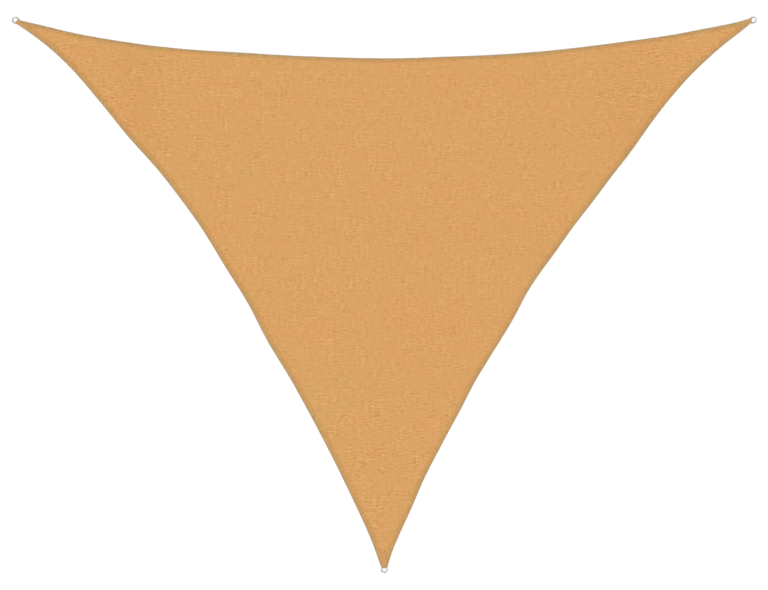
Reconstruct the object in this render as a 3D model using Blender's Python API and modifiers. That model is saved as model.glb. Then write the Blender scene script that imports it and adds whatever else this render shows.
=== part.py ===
"""A triangular shade sail of knitted cloth, laid out flat, with a steel D-ring at each corner.

Metres, +Z up. The sail lies on the plane z = 0, its long edge towards +Y and its point towards -Y.
The origin is on that plane, midway between the outermost points of the three rings.
"""

import math
from collections import namedtuple

import bmesh
import bpy
from mathutils import Vector
from mathutils.geometry import intersect_line_line

COLLECTION = "shade_sail"

# Lay-out, between the centres of the rings' round ends
TOP_SPAN = 5.000
SIDE_SPAN = 4.485
FALL = math.sqrt(SIDE_SPAN**2 - (TOP_SPAN / 2) ** 2)

# Cloth
CLOTH = 0.0012  # one layer of the knit
HEM = 0.0030  # the hem, turned over twice
HEM_STEP = 0.004  # width of the slope from the hem down to the single layer
TOP_HEM = 0.031  # widths of the hems
SIDE_HEM = 0.036
TOP_CELLS = 48  # cells of the cloth's mesh along the top edge and along each side
SIDE_CELLS = 42
CROWDING = 0.45  # how much closer the cells are near the corners, from 0 to 1
SAME_POINT = 1e-5  # points of the mesh this near each other are one
SHARP_ANGLE = math.radians(30)
MEETING_ROUNDS = 8  # steps that find where two hems' inner lines cross
TANGENT_REACH = 0.001  # share of an edge, either way, over which its direction is read

# Rings: round wire bent to a D, its straight bar inside the tab
WIRE = 0.006
RING_HALF_WIDTH = 0.0185  # to the middle of the wire
RING_BEND = 0.004  # radius of the two bends beside the bar, at the middle of the wire
BAR_TO_ROUND = 0.018  # from the bar to the centre of the round end
BEND_STEPS = 3  # straight pieces in each small bend, and in the round end
ROUND_STEPS = 14
WIRE_ROUNDNESS = 3  # Blender's bevel resolution, for a wire of ten sides

# Tabs: webbing folded round the bar, with a tail under the cloth and a tail over it
STRAP = 0.0016
STRAP_WIDTH = 0.030
TAIL = 0.105
FOLD_STEPS = 10
FOLD_SLOPE = 0.012  # length over which the upper tail comes down from the bar to the cloth

# Clearances
GAP = 0.0003  # between pieces that are sewn together
BAR_GAP = 0.0004  # between the bar and the webbing folded round it
CLOTH_BACK = 0.006  # from the bar back to the end of the cloth

# Heights at the corners
BAR_HEIGHT = STRAP + BAR_GAP + WIRE / 2
TIP_LIFT = STRAP + GAP
UPPER_TAIL = TIP_LIFT + HEM + GAP
LIFTED = 0.135  # the cloth keeps its full lift this far from the end of the tip, and is down at LANDED
LANDED = 0.340

# Colours, linear, and surfaces
Finish = namedtuple("Finish", "colour roughness metallic")
CLOTH_FINISH = Finish((0.701, 0.371, 0.133), 0.85, 0.0)
STRAP_FINISH = Finish((0.610, 0.322, 0.118), 0.75, 0.0)
STEEL_FINISH = Finish((0.62, 0.62, 0.63), 0.22, 1.0)

# A corner: the centre of the ring's round end, the way the ring points in degrees from +X, and how wide
# the end of the cloth is there.
Corner = namedtuple("Corner", "x y heading end_width")
CORNERS = {
    "left": Corner(-TOP_SPAN / 2, FALL / 2, 146, 0.029),
    "right": Corner(TOP_SPAN / 2, FALL / 2, 16, 0.029),
    "point": Corner(0.0, -FALL / 2, 270, 0.044),
}

# A station of an edge: the share of the way from ring to ring, and how far the edge is drawn in there
# from the straight line between the rings. The top edge is an even curve; the side edges waver.
Station = namedtuple("Station", "share draw")
Edge = namedtuple("Edge", "start end hem stations")
EDGES = {
    "top": Edge(
        "left",
        "right",
        TOP_HEM,
        (
            Station(0.04, 0.041),
            Station(0.08, 0.088),
            Station(0.13, 0.133),
            Station(0.20, 0.182),
            Station(0.30, 0.221),
            Station(0.41, 0.248),
            Station(0.51, 0.259),
            Station(0.60, 0.245),
            Station(0.67, 0.231),
            Station(0.75, 0.193),
            Station(0.83, 0.143),
            Station(0.89, 0.100),
            Station(0.93, 0.062),
            Station(0.97, 0.024),
        ),
    ),
    "left": Edge(
        "left",
        "point",
        SIDE_HEM,
        (
            Station(0.02, 0.021),
            Station(0.06, 0.083),
            Station(0.11, 0.135),
            Station(0.17, 0.168),
            Station(0.24, 0.196),
            Station(0.32, 0.244),
            Station(0.41, 0.263),
            Station(0.49, 0.250),
            Station(0.55, 0.240),
            Station(0.62, 0.207),
            Station(0.69, 0.191),
            Station(0.80, 0.142),
            Station(0.89, 0.087),
            Station(0.95, 0.042),
        ),
    ),
    "right": Edge(
        "right",
        "point",
        SIDE_HEM,
        (
            Station(0.02, 0.021),
            Station(0.06, 0.079),
            Station(0.11, 0.134),
            Station(0.15, 0.163),
            Station(0.20, 0.183),
            Station(0.27, 0.194),
            Station(0.31, 0.206),
            Station(0.36, 0.217),
            Station(0.41, 0.232),
            Station(0.45, 0.237),
            Station(0.52, 0.247),
            Station(0.58, 0.221),
            Station(0.65, 0.208),
            Station(0.69, 0.200),
            Station(0.74, 0.175),
            Station(0.80, 0.147),
            Station(0.85, 0.121),
            Station(0.90, 0.080),
            Station(0.94, 0.051),
            Station(0.97, 0.025),
        ),
    ),
}

# A swell: a low rise of the cloth that starts at an edge, where the hem is slack, and runs inwards.
Swell = namedtuple("Swell", "edge share reach half_width height")
SWELLS = (
    Swell("left", 0.15, 0.42, 0.24, 0.005),
    Swell("left", 0.35, 0.60, 0.27, 0.007),
    Swell("left", 0.61, 0.46, 0.25, 0.006),
    Swell("right", 0.27, 0.48, 0.26, 0.006),
    Swell("right", 0.50, 0.58, 0.27, 0.007),
    Swell("right", 0.73, 0.36, 0.24, 0.005),
    Swell("top", 0.31, 0.46, 0.32, 0.005),
    Swell("top", 0.67, 0.42, 0.32, 0.005),
)


def direction(degrees):
    return Vector((math.cos(math.radians(degrees)), math.sin(math.radians(degrees))))


def across(vector):
    """The vector turned a quarter turn to the left."""
    return Vector((-vector.y, vector.x))


def smooth_through(stations, share):
    """The draw at a share of the way, on a smooth curve through the stations."""
    last = len(stations) - 1
    slopes = []
    for i in range(last + 1):
        before, after = stations[max(i - 1, 0)], stations[min(i + 1, last)]
        slopes.append((after.draw - before.draw) / (after.share - before.share))
    i = 0
    while i < last - 1 and share > stations[i + 1].share:
        i += 1
    low, high = stations[i], stations[i + 1]
    width = high.share - low.share
    t = (share - low.share) / width
    return (
        low.draw * (1 + 2 * t) * (1 - t) ** 2
        + high.draw * t * t * (3 - 2 * t)
        + slopes[i] * width * t * (1 - t) ** 2
        - slopes[i + 1] * width * t * t * (1 - t)
    )


def tip_middle(corner):
    """The middle of the end of the cloth at a corner."""
    return Vector((corner.x, corner.y)) - direction(corner.heading) * (
        BAR_TO_ROUND + CLOTH_BACK
    )


class EdgeLine:
    """One edge of the cloth as a smooth line. Shares run from 0 at its first corner to 1 at its second."""

    def __init__(self, edge):
        first, second = CORNERS[edge.start], CORNERS[edge.end]
        self.start = Vector((first.x, first.y))
        self.chord = Vector((second.x, second.y)) - self.start
        inward = across(self.chord).normalized()
        if inward.dot(-self.start - self.chord / 2) < 0:
            inward.negate()
        self.inward = inward
        ends = [self.station_of(self.tip_side(corner)) for corner in (first, second)]
        self.stations = (ends[0], *edge.stations, ends[1])

    def tip_side(self, corner):
        """The corner of the cloth's cut end that this edge runs to."""
        side = across(direction(corner.heading))
        if side.dot(self.inward) > 0:
            side.negate()
        return tip_middle(corner) + side * corner.end_width / 2

    def station_of(self, point):
        offset = point - self.start
        share = offset.dot(self.chord) / self.chord.length_squared
        return Station(share, offset.dot(self.inward))

    def on_edge(self, share):
        first, last = self.stations[0].share, self.stations[-1].share
        along = first + (last - first) * share
        return (
            self.start
            + self.chord * along
            + self.inward * smooth_through(self.stations, along)
        )

    def tangent(self, share):
        before = self.on_edge(share - TANGENT_REACH)
        after = self.on_edge(share + TANGENT_REACH)
        return (after - before) / (2 * TANGENT_REACH)

    def point(self, share, inset=0.0):
        """The point at a share along the line that runs inside the edge, inset from it."""
        normal = across(self.tangent(share)).normalized()
        if normal.dot(self.inward) < 0:
            normal.negate()
        return self.on_edge(share) + normal * inset


def meeting(one, one_share, other, other_share, insets):
    """The shares at which two edges' inset lines cross, near the shares given."""
    shares = [one_share, other_share]
    for _ in range(MEETING_ROUNDS):
        starts = [
            line.point(share, inset)
            for line, share, inset in zip((one, other), shares, insets)
        ]
        runs = [line.tangent(share) for line, share in zip((one, other), shares)]
        crossing = intersect_line_line(
            starts[0].to_3d(),
            (starts[0] + runs[0]).to_3d(),
            starts[1].to_3d(),
            (starts[1] + runs[1]).to_3d(),
        )[0].to_2d()
        for i, (start, run) in enumerate(zip(starts, runs)):
            shares[i] += (crossing - start).dot(run) / run.length_squared
    return shares


def crowded(cells):
    """Shares from 0 to 1 that lie closer together at both ends."""
    steps = [i / cells for i in range(cells + 1)]
    return [s - CROWDING * math.sin(2 * math.pi * s) / (2 * math.pi) for s in steps]


def inset_sides(lines, hem_widths, slope=0.0):
    """The three edges' lines, as lists of points, so far inside the cloth's outline."""
    insets = {name: EDGES[name].hem * hem_widths + slope for name in EDGES}
    top, left, right = lines["top"], lines["left"], lines["right"]
    if hem_widths == 0:
        spans = {name: (0.0, 1.0) for name in EDGES}
    else:
        at_left = meeting(top, 0, left, 0, (insets["top"], insets["left"]))
        at_right = meeting(top, 1, right, 0, (insets["top"], insets["right"]))
        at_point = meeting(left, 1, right, 1, (insets["left"], insets["right"]))
        spans = {
            "top": (at_left[0], at_right[0]),
            "left": (at_left[1], at_point[0]),
            "right": (at_right[1], at_point[1]),
        }
    sides = {}
    for name, (low, high) in spans.items():
        shares = crowded(TOP_CELLS if name == "top" else SIDE_CELLS)
        sides[name] = [
            lines[name].point(low + (high - low) * share, insets[name])
            for share in shares
        ]
    return sides


def as_loop(sides):
    """The three sides as one closed loop, clockwise from the left corner."""
    return sides["top"] + sides["right"] + sides["left"][::-1]


def patch_rows(sides):
    """Rows of points across the cloth inside its hem, from the top edge down to the point."""
    top, left, right = sides["top"], sides["left"], sides["right"]
    point = left[-1]
    down = crowded(SIDE_CELLS)
    along = crowded(TOP_CELLS)
    rows = []
    for j, t in enumerate(down):
        row = []
        for i, s in enumerate(along):
            from_sides = left[j].lerp(right[j], s)
            from_top = top[i].lerp(point, t)
            corners = top[0].lerp(top[-1], s).lerp(point, t)
            row.append(from_sides + from_top - corners)
        rows.append(row)
    rows[0] = list(top)
    rows[-1] = [point] * (TOP_CELLS + 1)
    return rows


def hump(x):
    """A smooth rise from 0 at x = -1 to 1 at x = 0 and back to 0 at x = 1."""
    return (1 - x * x) ** 2 if abs(x) < 1 else 0.0


def swell_height(swell, lines, point):
    line = lines[swell.edge]
    offset = point - line.on_edge(swell.share)
    run = line.tangent(swell.share).normalized()
    in_from_edge = abs(offset.dot(across(run)))
    return (
        swell.height
        * hump(offset.dot(run) / swell.half_width)
        * hump(in_from_edge / swell.reach)
    )


def underside(lines, point):
    """The height of the cloth's lower face."""
    lift = 0.0
    for corner in CORNERS.values():
        away = (point - tip_middle(corner)).length
        t = min(max((LANDED - away) / (LANDED - LIFTED), 0.0), 1.0)
        lift += TIP_LIFT * t * t * (3 - 2 * t)
    return lift + sum(swell_height(swell, lines, point) for swell in SWELLS)


def add_rows(mesh, rows, closed=False):
    """Joins rows of points, each as long as the last, with faces."""
    made = [[mesh.verts.new(point) for point in row] for row in rows]
    for row, below in zip(made, made[1:]):
        count = len(row) if closed else len(row) - 1
        for i in range(count):
            k = (i + 1) % len(row)
            mesh.faces.new((row[i], row[k], below[k], below[i]))


def make_sail():
    """The cloth and its hem, one closed sheet between a lower and an upper face."""
    lines = {name: EdgeLine(edge) for name, edge in EDGES.items()}
    outer = inset_sides(lines, hem_widths=0)
    hem_inner = inset_sides(lines, hem_widths=1)
    single = inset_sides(lines, hem_widths=1, slope=HEM_STEP)

    def raised(points, thickness):
        return [
            Vector((point.x, point.y, underside(lines, point) + thickness))
            for point in points
        ]

    mesh = bmesh.new()
    for hem, cloth in ((0.0, 0.0), (HEM, CLOTH)):
        bands = [
            raised(as_loop(outer), hem),
            raised(as_loop(hem_inner), hem),
            raised(as_loop(single), cloth),
        ]
        add_rows(mesh, bands, closed=True)
        add_rows(mesh, [raised(row, cloth) for row in patch_rows(single)])
    rim = as_loop(outer)
    add_rows(mesh, [raised(rim, 0.0), raised(rim, HEM)], closed=True)
    bmesh.ops.remove_doubles(mesh, verts=mesh.verts, dist=SAME_POINT)
    bmesh.ops.recalc_face_normals(mesh, faces=mesh.faces)
    return add_object("sail_cloth", mesh, CLOTH_FINISH)


def arc(centre_x, centre_y, radius, start, end, steps):
    """Points on an arc, with angles in degrees."""
    centre = Vector((centre_x, centre_y))
    return [
        centre + direction(start + (end - start) * i / steps) * radius
        for i in range(steps + 1)
    ]


def ring_line():
    """The middle of the ring's wire: the bar on the Y axis and the round end towards +X."""
    straight = RING_HALF_WIDTH - RING_BEND
    return (
        arc(RING_BEND, -straight, RING_BEND, 180, 270, BEND_STEPS)
        + arc(BAR_TO_ROUND, 0, RING_HALF_WIDTH, -90, 90, ROUND_STEPS)
        + arc(RING_BEND, straight, RING_BEND, 90, 180, BEND_STEPS)
    )


def bar_place(corner):
    return Vector((corner.x, corner.y)) - direction(corner.heading) * BAR_TO_ROUND


def make_ring(name, corner):
    """A D-ring whose bar is held up in its tab and whose round end rests on the ground."""
    curve = bpy.data.curves.new(name, "CURVE")
    curve.dimensions = "3D"
    curve.bevel_depth = WIRE / 2
    curve.bevel_resolution = WIRE_ROUNDNESS
    spline = curve.splines.new("POLY")
    line = ring_line()
    spline.points.add(len(line) - 1)
    for point, place in zip(spline.points, line):
        point.co = (place.x, place.y, 0, 1)
    spline.use_cyclic_u = True
    spline.use_smooth = True
    ring = bpy.data.objects.new(name, curve)
    tilt = math.asin((BAR_HEIGHT - WIRE / 2) / (BAR_TO_ROUND + RING_HALF_WIDTH))
    ring.location = bar_place(corner).to_3d() + Vector((0, 0, BAR_HEIGHT))
    ring.rotation_euler = (0, tilt, math.radians(corner.heading))
    return dress(ring, STEEL_FINISH)


def strap_line():
    """The middle of the webbing in section, as (outwards from the bar, height)."""
    lower, upper = STRAP / 2, UPPER_TAIL + STRAP / 2
    fold_radius = BAR_HEIGHT - lower
    return (
        [Vector((-TAIL, lower))]
        + arc(0, BAR_HEIGHT, fold_radius, -90, 90, FOLD_STEPS)
        + [Vector((-FOLD_SLOPE, upper)), Vector((-TAIL, upper))]
    )


def make_tab(name, corner):
    """The webbing that holds a ring."""
    mesh = bmesh.new()
    points = [mesh.verts.new((p.x, -STRAP_WIDTH / 2, p.y)) for p in strap_line()]
    for a, b in zip(points, points[1:]):
        mesh.edges.new((a, b))
    swept = bmesh.ops.extrude_edge_only(mesh, edges=mesh.edges)
    far = [e for e in swept["geom"] if isinstance(e, bmesh.types.BMVert)]
    bmesh.ops.translate(mesh, verts=far, vec=(0, STRAP_WIDTH, 0))
    tab = add_object(name, mesh, STRAP_FINISH)
    tab.location = bar_place(corner).to_3d()
    tab.rotation_euler = (0, 0, math.radians(corner.heading))
    shell = tab.modifiers.new("webbing", "SOLIDIFY")
    shell.thickness = STRAP
    shell.offset = 0
    shell.use_even_offset = True
    return tab


def material(name, finish):
    made = bpy.data.materials.new(name)
    made.use_nodes = True
    surface = made.node_tree.nodes["Principled BSDF"]
    surface.inputs["Base Color"].default_value = (*finish.colour, 1)
    surface.inputs["Roughness"].default_value = finish.roughness
    surface.inputs["Metallic"].default_value = finish.metallic
    return made


def dress(thing, finish):
    """Puts an object in the sail's collection with its own material."""
    thing.data.materials.append(material(thing.name, finish))
    bpy.data.collections[COLLECTION].objects.link(thing)
    return thing


def add_object(name, mesh, finish):
    data = bpy.data.meshes.new(name)
    mesh.to_mesh(data)
    mesh.free()
    data.shade_smooth()
    data.set_sharp_from_angle(angle=SHARP_ANGLE)
    return dress(bpy.data.objects.new(name, data), finish)


def main():
    for thing in list(bpy.data.objects):
        bpy.data.objects.remove(thing)
    collection = bpy.data.collections.new(COLLECTION)
    bpy.context.scene.collection.children.link(collection)
    make_sail()
    for place, corner in CORNERS.items():
        make_tab(f"tab_{place}", corner)
        make_ring(f"ring_{place}", corner)


main()
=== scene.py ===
"""The looks of a triangular shade sail laid out flat: knitted cloth with a sewn hem, and at each
corner a webbing tab that holds a steel D-ring.

Metres, +Z up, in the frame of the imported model, whose sizes are repeated here. The long edge lies
towards +Y and the point towards -Y.
"""

import math
from collections import namedtuple

import bpy
import numpy as np
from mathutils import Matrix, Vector
from mathutils.geometry import delaunay_2d_cdt


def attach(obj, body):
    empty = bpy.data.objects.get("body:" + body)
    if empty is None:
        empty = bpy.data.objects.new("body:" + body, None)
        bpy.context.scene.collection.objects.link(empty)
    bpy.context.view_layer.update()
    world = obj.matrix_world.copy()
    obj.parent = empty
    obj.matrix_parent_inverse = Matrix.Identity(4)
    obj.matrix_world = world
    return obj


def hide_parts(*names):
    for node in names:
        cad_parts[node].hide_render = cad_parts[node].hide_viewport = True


BODY = "root"

# The sail's lay-out, between the centres of the rings' round ends
TOP_SPAN = 5.000
SIDE_SPAN = 4.485
FALL = math.sqrt(SIDE_SPAN**2 - (TOP_SPAN / 2) ** 2)

# Cloth
CLOTH = 0.0012
HEM = 0.0030
TOP_HEM = 0.031
SIDE_HEM = 0.036

# Rings: round wire bent to a D, its straight bar inside the tab
WIRE = 0.006
RING_HALF_WIDTH = 0.0185
RING_BEND = 0.004
BAR_TO_ROUND = 0.018

# Tabs: webbing folded round the bar, with a tail under the cloth and a tail over it
STRAP = 0.0016
STRAP_WIDTH = 0.030
TAIL = 0.105
FOLD_SLOPE = 0.012

# Clearances and heights at the corners
GAP = 0.0003
BAR_GAP = 0.0004
CLOTH_BACK = 0.006  # from the bar back to the end of the cloth
BAR_HEIGHT = STRAP + BAR_GAP + WIRE / 2
TIP_LIFT = STRAP + GAP
UPPER_TAIL = TIP_LIFT + HEM + GAP
LIFTED = 0.135  # the cloth lies on the tab up to this far from its end, and comes down till LANDED
LANDED = 0.340

# A corner: the centre of the ring's round end, the way the ring points in degrees from +X, and how
# wide the end of the cloth is there.
Corner = namedtuple("Corner", "x y heading end_width")
CORNERS = {
    "left": Corner(-TOP_SPAN / 2, FALL / 2, 146, 0.029),
    "right": Corner(TOP_SPAN / 2, FALL / 2, 16, 0.029),
    "point": Corner(0.0, -FALL / 2, 270, 0.044),
}

# An edge of the cloth. Each of its stations is the share of the way from ring to ring, and how far
# the edge is drawn in there from the straight line between the rings.
Edge = namedtuple("Edge", "start end hem stations")
TOP_STATIONS = (
    (0.04, 0.041), (0.08, 0.088), (0.13, 0.133), (0.20, 0.182), (0.30, 0.221),
    (0.41, 0.248), (0.51, 0.259), (0.60, 0.245), (0.67, 0.231), (0.75, 0.193),
    (0.83, 0.143), (0.89, 0.100), (0.93, 0.062), (0.97, 0.024),
)
LEFT_STATIONS = (
    (0.02, 0.021), (0.06, 0.083), (0.11, 0.135), (0.17, 0.168), (0.24, 0.196),
    (0.32, 0.244), (0.41, 0.263), (0.49, 0.250), (0.55, 0.240), (0.62, 0.207),
    (0.69, 0.191), (0.80, 0.142), (0.89, 0.087), (0.95, 0.042),
)
RIGHT_STATIONS = (
    (0.02, 0.021), (0.06, 0.079), (0.11, 0.134), (0.15, 0.163), (0.20, 0.183),
    (0.27, 0.194), (0.31, 0.206), (0.36, 0.217), (0.41, 0.232), (0.45, 0.237),
    (0.52, 0.247), (0.58, 0.221), (0.65, 0.208), (0.69, 0.200), (0.74, 0.175),
    (0.80, 0.147), (0.85, 0.121), (0.90, 0.080), (0.94, 0.051), (0.97, 0.025),
)
EDGES = {
    "top": Edge("left", "right", TOP_HEM, TOP_STATIONS),
    "left": Edge("left", "point", SIDE_HEM, LEFT_STATIONS),
    "right": Edge("right", "point", SIDE_HEM, RIGHT_STATIONS),
}

# A swell: a low rise of the cloth that starts at an edge, where the hem is slack, and runs inwards.
Swell = namedtuple("Swell", "edge share reach half_width height")
SWELLS = (
    Swell("left", 0.15, 0.42, 0.24, 0.005),
    Swell("left", 0.35, 0.60, 0.27, 0.007),
    Swell("left", 0.61, 0.46, 0.25, 0.006),
    Swell("right", 0.27, 0.48, 0.26, 0.006),
    Swell("right", 0.50, 0.58, 0.27, 0.007),
    Swell("right", 0.73, 0.36, 0.24, 0.005),
    Swell("top", 0.31, 0.46, 0.32, 0.005),
    Swell("top", 0.67, 0.42, 0.32, 0.005),
)

# A crease: a soft ridge between two places, left over from folding the sail up. Its tone is how
# much painted shade, darker and a little warmer, lies on the cloth there, of 1.
Crease = namedtuple("Crease", "start end half_width height tone")
CREASES = (
    Crease((-1.68, 1.90), (-1.64, 0.75), 0.150, 0.0014, 0.75),
    Crease((1.56, 1.90), (1.52, 0.30), 0.170, 0.0018, 0.45),
    Crease((1.80, 1.90), (1.76, 0.60), 0.150, 0.0012, 0.6),
    Crease((-0.62, 1.55), (-0.55, -0.30), 0.120, 0.0010, 0.0),
    Crease((0.60, 1.50), (0.54, -0.20), 0.120, 0.0010, 0.0),
    Crease((-1.30, 0.42), (1.20, 0.36), 0.110, 0.0009, 0.15),
    Crease((-0.55, -0.62), (0.55, -0.66), 0.100, 0.0009, 0.15),
)
TONE_SPREAD = 1.35  # how much further than its ridge a crease's painted shade reaches
DRAWN_IN = 0.8  # the knit is drawn towards a corner up to this far from it, and not from FREE on
FREE = 1.5

# Puckers: the hem's sewing draws the cloth up in small waves that die away inwards.
Wave = namedtuple("Wave", "length weight phase")
PUCKERS = (
    Wave(0.083, 0.45, 0.7),
    Wave(0.127, 0.60, 2.9),
    Wave(0.211, 0.55, 4.4),
    Wave(0.470, 0.35, 1.8),
)
PUCKER_HEIGHT = 0.0011
PUCKER_REACH = 0.060
PUCKER_EASE = 0.180  # distance from a tab's tail over which the puckers come up

# The cloth's mesh, and the section of the hem
NOSE = 0.0015  # radius of the hem's outer fold
LENGTH_STEPS = 400  # points along an edge when its length is measured
ALONG_HEM = 0.012  # spacing of points along the hem and over the rest of the cloth
OVER_CLOTH = 0.0225
GRID_MARGIN = 0.6  # of OVER_CLOTH: how far those points stay from the rows along the edges
INSIDE = 1  # the triangulation keeps what lies inside the outline
MERGED = 1e-7  # and makes one point of those that are nearer than this
NOSE_ROWS = (0.00008, 0.0004, 0.0009, NOSE)
INNER_ROWS = (0.0012, 0.004, 0.009, 0.016, 0.026, 0.040, 0.057)
END_POINTS = 8  # along the cut end of a tip
ROW_MARGIN = 0.0012  # rows stop this far short of where two hems meet
SEW_IN = 0.0055  # the two rows of sewing, from the outer fold and from the inner one
SEW_DEPTH = 0.0005
SEW_SPREAD = 0.0018
PUFF = 0.0004  # how much fuller the hem is between the rows
FOLD_DROP = 0.0012  # width over which the hem's inner fold drops to the single layer

# Sewing thread
STITCH_PITCH = 0.0052
STITCH_LENGTH = 0.0044
THREAD = 0.0008
STITCH_DIP = 0.45  # how deep a stitch's ends lie, and how high its arch is drawn, in threads
STITCH_RISE = 1.05
TAB_STITCH_PITCH = 0.0040
TAB_STITCH_LENGTH = 0.0035
BOX_MARGIN = 0.0035  # from the webbing's edges to the box sewn on it
BOX_START = 0.016  # from the bar back to the box
STRAP_CLEAR = 0.0025  # hem sewing stops this far from the webbing
UNDER_THREAD = 0.0004  # how far inside the lower face the path of the stitches underneath runs
UNDERNEATH = {"Side": -1.0, "Steps": 3, "Sides": 4}

# Webbing's mesh
STRAP_STEP = 0.0015
STRAP_ROUND = 0.0007
STRAP_ROUND_STEPS = 6
STRAP_ACROSS = 20
FOLD_ANGLE_STEPS = 18
SHARP_ANGLE = math.radians(50)

# Rings' mesh, and each ring's weld, whose dark tint is painted shade: how far it is ahead of the
# bar and aside
BEND_STEPS = 8
ROUND_STEPS = 48
BAR_STEPS = 6
WIRE_SIDES = 20
WELD_AND_SHADE_SPOTS = {"left": (0.010, 0.0185), "right": (0.010, -0.0185), "point": (0.0255, -0.0169)}
WELD_REACH = 0.0050

# Camera. The photograph is FRAME_PIXELS wide, and its long edge TOP_PIXELS from ring to ring.
FRAME_PIXELS = 768
TOP_PIXELS = 738.05
VIEW_CENTRE = (-0.0014, 0.0003)
CAMERA_HEIGHT = 12.0
CAMERA_SIGHT = 200.0
SENSOR = 36.0

# Stage and light
FLOOR_DROP = 0.0003
FLOOR_SIZE = 160.0
FLOOR_PATCH = 1.5
FLOOR_SHADES = ((0.90, 0.90, 0.90, 1), (0.92, 0.92, 0.92, 1))
FLOOR_SHINE = 0.1
WORLD_LIGHT = 0.72
SUN_LIGHT = 1.65
SUN_ANGLE = math.radians(35)
SUN_TURN = (math.radians(28), math.radians(-22), 0)


def heading_of(corner):
    angle = math.radians(corner.heading)
    return np.array((math.cos(angle), math.sin(angle)))


def across(vectors):
    """The vectors turned a quarter turn to the left."""
    return np.stack((-vectors[..., 1], vectors[..., 0]), axis=-1)


def unit(vectors):
    return vectors / np.linalg.norm(vectors, axis=-1, keepdims=True)


def dot(a, b):
    return (a * b).sum(axis=-1)


def smooth(t):
    """0 to 1 with level ends, as t runs from 0 to 1."""
    t = np.clip(t, 0.0, 1.0)
    return t * t * (3 - 2 * t)


def hump(x):
    """A smooth rise from 0 at x = -1 to 1 at x = 0 and back to 0 at x = 1."""
    return np.where(np.abs(x) < 1, (1 - x * x) ** 2, 0.0)


def mound(offset, run, along, aside):
    """1 at no offset, falling to 0 at these distances along a direction and aside from it."""
    return hump(dot(offset, run) / along) * hump(dot(offset, across(run)) / aside)


def centre_of(corner):
    return np.array((corner.x, corner.y))


def tip_middle(corner):
    """The middle of the end of the cloth at a corner."""
    return centre_of(corner) - heading_of(corner) * (BAR_TO_ROUND + CLOTH_BACK)


class EdgeLine:
    """One edge of the cloth as a smooth line. Shares of it run from 0 at its first corner to 1."""

    def __init__(self, name):
        edge = EDGES[name]
        first, second = CORNERS[edge.start], CORNERS[edge.end]
        self.hem = edge.hem
        self.start = centre_of(first)
        self.chord = centre_of(second) - self.start
        inward = unit(across(self.chord))
        if dot(inward, -self.start - self.chord / 2) < 0:
            inward = -inward
        self.inward = inward
        ends = [self.station_of(self.tip_side(corner)) for corner in (first, second)]
        stations = np.array((ends[0], *edge.stations, ends[1]))
        self.shares, self.draws = stations[:, 0], stations[:, 1]
        before = np.maximum(np.arange(len(stations)) - 1, 0)
        after = np.minimum(np.arange(len(stations)) + 1, len(stations) - 1)
        self.slopes = (self.draws[after] - self.draws[before]) / (
            self.shares[after] - self.shares[before]
        )
        steps = np.diff(self.point(np.linspace(0, 1, LENGTH_STEPS)), axis=0)
        self.length = float(np.linalg.norm(steps, axis=1).sum())

    def tip_side(self, corner):
        """The corner of the cloth's cut end that this edge runs to."""
        side = across(heading_of(corner))
        if dot(side, self.inward) > 0:
            side = -side
        return tip_middle(corner) + side * corner.end_width / 2

    def station_of(self, point):
        offset = point - self.start
        return dot(offset, self.chord) / dot(self.chord, self.chord), dot(offset, self.inward)

    def on_edge(self, share):
        first, last = self.shares[0], self.shares[-1]
        along = first + (last - first) * np.asarray(share, float)
        i = np.clip(np.searchsorted(self.shares, along) - 1, 0, len(self.shares) - 2)
        width = self.shares[i + 1] - self.shares[i]
        t = (along - self.shares[i]) / width
        draw = (
            self.draws[i] * (1 + 2 * t) * (1 - t) ** 2
            + self.draws[i + 1] * t * t * (3 - 2 * t)
            + self.slopes[i] * width * t * (1 - t) ** 2
            - self.slopes[i + 1] * width * t * t * (1 - t)
        )
        return self.start + along[..., None] * self.chord + draw[..., None] * self.inward

    def tangent(self, share, reach=0.001):
        share = np.asarray(share, float)
        return (self.on_edge(share + reach) - self.on_edge(share - reach)) / (2 * reach)

    def normal(self, share):
        normal = unit(across(self.tangent(share)))
        return normal * np.sign(dot(normal, self.inward))[..., None]

    def point(self, share, inset=0.0):
        return self.on_edge(share) + self.normal(share) * inset

    def nearest(self, points, rounds=6):
        """The share of the edge that each point is nearest to, and its distance inside the edge."""
        offset = points - self.start
        first, last = self.shares[0], self.shares[-1]
        share = (dot(offset, self.chord) / dot(self.chord, self.chord) - first) / (last - first)
        for _ in range(rounds):
            tangent = self.tangent(share)
            share = share + dot(points - self.on_edge(share), tangent) / dot(tangent, tangent)
            share = np.clip(share, 0.0, 1.0)
        return share, dot(points - self.on_edge(share), self.normal(share))


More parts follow.
